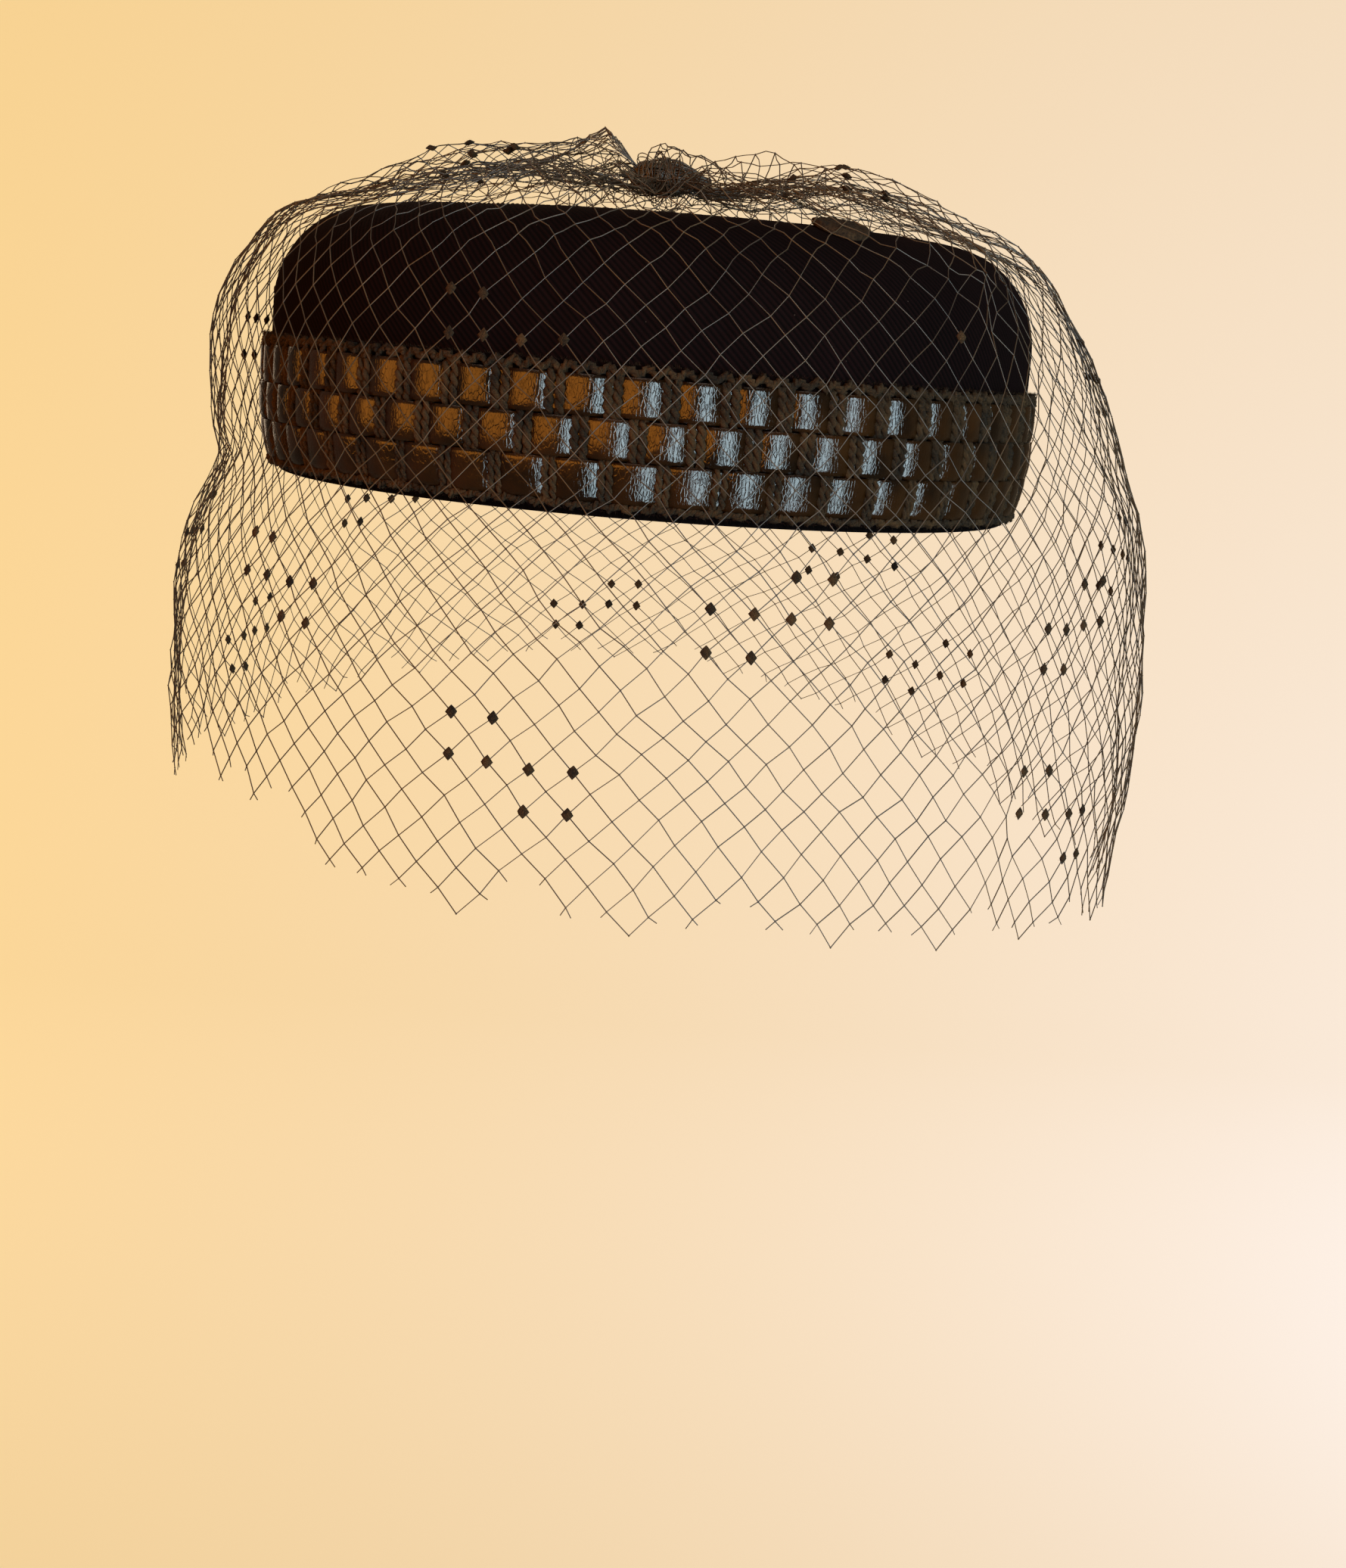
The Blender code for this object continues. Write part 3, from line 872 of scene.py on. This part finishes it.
def make_bundle(finish):
    """The bundle's lumpy core, its lengthwise strands, the binding and the loose loops."""
    low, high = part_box("veil_knot")
    middle, half = (low + high) / 2, (high - low) / 2
    # The threads stand proud of the core, so it is set lower and made flatter than the box.
    middle.z -= 0.8 * MM
    half.x, half.z = half.x * 1.1, half.z * 0.86
    points, faces = [], []

    def on_core(place, angle, swell):
        """A point of the core, by its place from end to end and its angle round it."""
        wide = sqrt(max(1 - place**2, 0.02))
        spot = Vector((place * half.x, half.y * wide * cos(angle), half.z * wide * sin(angle)))
        lump = noise.noise(spot / (2.6 * MM)) * 0.9 * MM
        return middle + spot + spot.normalized() * (lump + swell * MM)

    rings, columns = bundle_rings, bundle_columns
    for ring in range(rings):
        place = -cos(pi * (ring + 0.5) / rings)
        points += [on_core(place, tau * k / columns, -0.5) for k in range(columns)]
    faces += ring_faces(rings, columns, closed=False)
    faces.append(list(reversed(range(columns))))
    faces.append(list(range((rings - 1) * columns, rings * columns)))
    for number in range(lengthwise_strands):
        begin = number * golden_angle
        bow = 0.5 * noise.noise(Vector((number * 1.7, 0, 3)))
        line = [
            on_core(-1.25 + 2.5 * k / 12, begin + bow * sin(pi * k / 12) * 2, 0.05 * (number % 4))
            for k in range(13)
        ]
        add_thread(points, faces, line, 0.2 * MM, 4)
    for number in range(binding_turns):
        place = -0.68 + 0.95 * (number * even_step % 1)
        tilt = 0.5 * noise.noise(Vector((number * 2.3, 5, 1)))
        line = [
            on_core(place + tilt * sin(tau * k / 20 + number), tau * k / 20, 0.35 + 0.1 * (number % 3))
            for k in range(20)
        ]
        add_thread(points, faces, line, 0.17 * MM, 4, closed=True)
    for number in range(loose_loops):
        begin, place = number * golden_angle, -0.9 + 1.8 * (number * second_step % 1)
        stand = 2.0 + 3.0 * abs(noise.noise(Vector((number * 3.1, 2, 8))))
        line = [
            on_core(place + 0.35 * k / 10, begin + 0.9 * k / 10, stand * sin(pi * k / 10))
            for k in range(11)
        ]
        add_thread(points, faces, line, 0.12 * MM, 4)
    return add_piece("gathered_knot", points, faces, finish, ["veil_knot"])


make_bundle(nylon)


# Tack patch. A small lump of dark brown felt is tacked on the top edge right of the front,
# where it holds the net down. It follows the velvet over the edge.
patch_turn, patch_inset = 0.55, shoulder_depth - 5 * MM
patch_wide, patch_deep, patch_rise = 6.1 * MM, 5.2 * MM, 1.4
patch_columns = 48


def make_patch(finish):
    """The lump as rings of points, from its underside over its rim to its crown."""
    columns = patch_columns
    profile = [(k / 6, 0.0) for k in range(1, 7)]
    profile += [(1 + 0.07 * sin(a), 0.5 - 0.5 * cos(a)) for a in np.linspace(0, pi, 7)[1:-1]]
    profile += [(k / 10, 1.15 - 0.15 * (k / 10) ** 2) for k in range(10, 0, -1)]
    points = []
    for reach, rise in profile:
        for k in range(columns):
            angle = tau * k / columns
            inset = patch_inset + sin(angle) * reach * patch_deep
            # So far in, the oval is smaller, and a millimetre takes more of a turn.
            x, y = oval(patch_turn + cos(angle) * reach * patch_wide / half_width * 1.15, inset)
            fall = max(shoulder_depth - inset, 0) / shoulder_depth
            z = shoulder_base + shoulder_height * sqrt(1 - fall**2) + 0.25 * MM
            spot = leaned(x, y, z)
            lump = noise.noise(spot / (1.8 * MM)) * 0.4 + noise.noise(spot / (0.5 * MM)) * 0.15
            points.append(spot + Vector((0, 0, rise * (patch_rise + lump) * MM)))
    faces = ring_faces(len(profile), columns, closed=False)
    faces.append(list(reversed(range(columns))))
    faces.append(list(range(len(points) - columns, len(points))))
    return add_piece("tack_patch_felt", points, faces, finish, ["tack_patch"])


# Wool felt: matt and brown, with a mottled fibre surface
felt = new_finish("dark_brown_wool_felt")
spot = add_node(felt, "TexCoord", {}).outputs["Object"]
fibre = add_node(felt, "TexNoise", {"Vector": spot, "Scale": 1300, "Detail": 5, "Roughness": 0.7})
tone = add_node(felt, "ValToRGB", {"Fac": fibre.outputs["Fac"]})
tone.color_ramp.elements[0].position = 0.36
tone.color_ramp.elements[0].color = linear("#120a05")
tone.color_ramp.elements[1].position = 0.66
tone.color_ramp.elements[1].color = linear("#382818")
matted = add_node(felt, "Bump", {"Height": fibre.outputs["Fac"], "Strength": 0.9, "Distance": 0.3 * MM})
add_node(
    felt,
    None,
    {
        "Base Color": tone.outputs["Color"],
        "Roughness": 0.95,
        "Specular IOR Level": 0.15,
        "Normal": matted.outputs["Normal"],
    },
)
make_patch(felt)


# Stage. A pale floor that sweeps up into a backdrop, well below the hat, which stays up in the
# form that it has when worn.
bpy.ops.mesh.primitive_plane_add(size=6, location=(0, 0, -0.6))
floor = bpy.context.object
floor.name = "floor"
bpy.ops.object.mode_set(mode="EDIT")
bm = bmesh.from_edit_mesh(floor.data)
for edge in bm.edges:
    edge.select = all(vert.co.y > 0 for vert in edge.verts)
bmesh.update_edit_mesh(floor.data)
bpy.ops.mesh.extrude_region_move(TRANSFORM_OT_translate={"value": (0, 0, 4)})
bpy.ops.object.mode_set(mode="OBJECT")
sweep = floor.modifiers.new("sweep", "BEVEL")
sweep.width, sweep.segments, sweep.limit_method = 1.5, 24, "ANGLE"
floor.data.shade_smooth()
paper = new_finish("pale_backdrop_paper")
glow = {"Emission Color": linear("#ffd581"), "Emission Strength": 0.68}
add_node(paper, None, {"Base Color": linear("#e6ddd2"), "Roughness": 0.9, **glow})
floor.data.materials.append(paper)
# The hat reflects a dim room and not the pale paper, which the room's own lights leave alone.
floor.visible_glossy = floor.visible_diffuse = floor.visible_shadow = False
unlit = bpy.data.collections.new("unlit_by_the_room")
unlit.objects.link(floor)
unlit.collection_objects[0].light_linking.link_state = "EXCLUDE"


def add_light(name, place, target, size, power, tint):
    """A soft rectangular light at a place, facing a target, both in metres."""
    lamp = bpy.data.lights.new(name, "AREA")
    lamp.shape = "RECTANGLE"
    lamp.size, lamp.size_y = size
    lamp.energy = power
    lamp.color = linear(tint)[:3]
    holder = bpy.data.objects.new(name, lamp)
    bpy.context.scene.collection.objects.link(holder)
    holder.location = place
    away = Vector(place) - Vector(target)
    holder.rotation_euler = away.to_track_quat("Z", "Y").to_euler()
    holder.visible_camera = False
    return holder


# A tall cool window right of the front, the warm glow of the room from the left, a little light
# from overhead and behind, and two lights on the backdrop
for name, *values in (
    ("window", (0.72, -1.18, -0.05), (0, 0, 0), (0.62, 1.95), 42, "#d8f4ff"),
    ("room_left", (-1.0, -1.1, 0.25), (0, 0, 0), (1.9, 1.1), 27, "#ff9c34"),
    ("overhead", (0, 0, 1.6), (0, 0, 0), (1.2, 1.2), 4, "#fff0e0"),
    ("room_behind", (-0.2, 1.5, 0.4), (0, 0, 0), (1.6, 1.2), 6, "#ffe2c0"),
):
    add_light(name, *values).light_linking.receiver_collection = unlit
add_light("backdrop_left", (-1.6, 0.5, 0.6), (-1.6, 2.4, -0.6), (1.0, 1.0), 14, "#ffce40")
add_light("backdrop_right", (1.4, 0.5, 0.6), (1.3, 2.4, -0.6), (1.2, 1.2), 42, "#8cbeff")
world = bpy.data.worlds.new("room")
bpy.context.scene.world = world
world.use_nodes = True
world.node_tree.nodes["Background"].inputs["Color"].default_value = linear("#ffe0b8")
world.node_tree.nodes["Background"].inputs["Strength"].default_value = 0.1
bpy.context.scene.view_settings.view_transform = "Standard"


# Camera. It stands half a metre in front, a little above the rim, and is tipped so that the hat
# leans down to the right.
camera_data = bpy.data.cameras.new("camera")
camera = bpy.data.objects.new("camera", camera_data)
bpy.context.scene.collection.objects.link(camera)
bpy.context.scene.camera = camera
camera_data.lens = 50.4
camera.location = (12.9 * MM, -520 * MM, 30.9 * MM)
looking = Euler((radians(90 - 11.04), 0, 0)).to_matrix()
tipped = Euler((0, 0, radians(4.67))).to_matrix()
camera.rotation_euler = (looking @ tipped).to_euler()
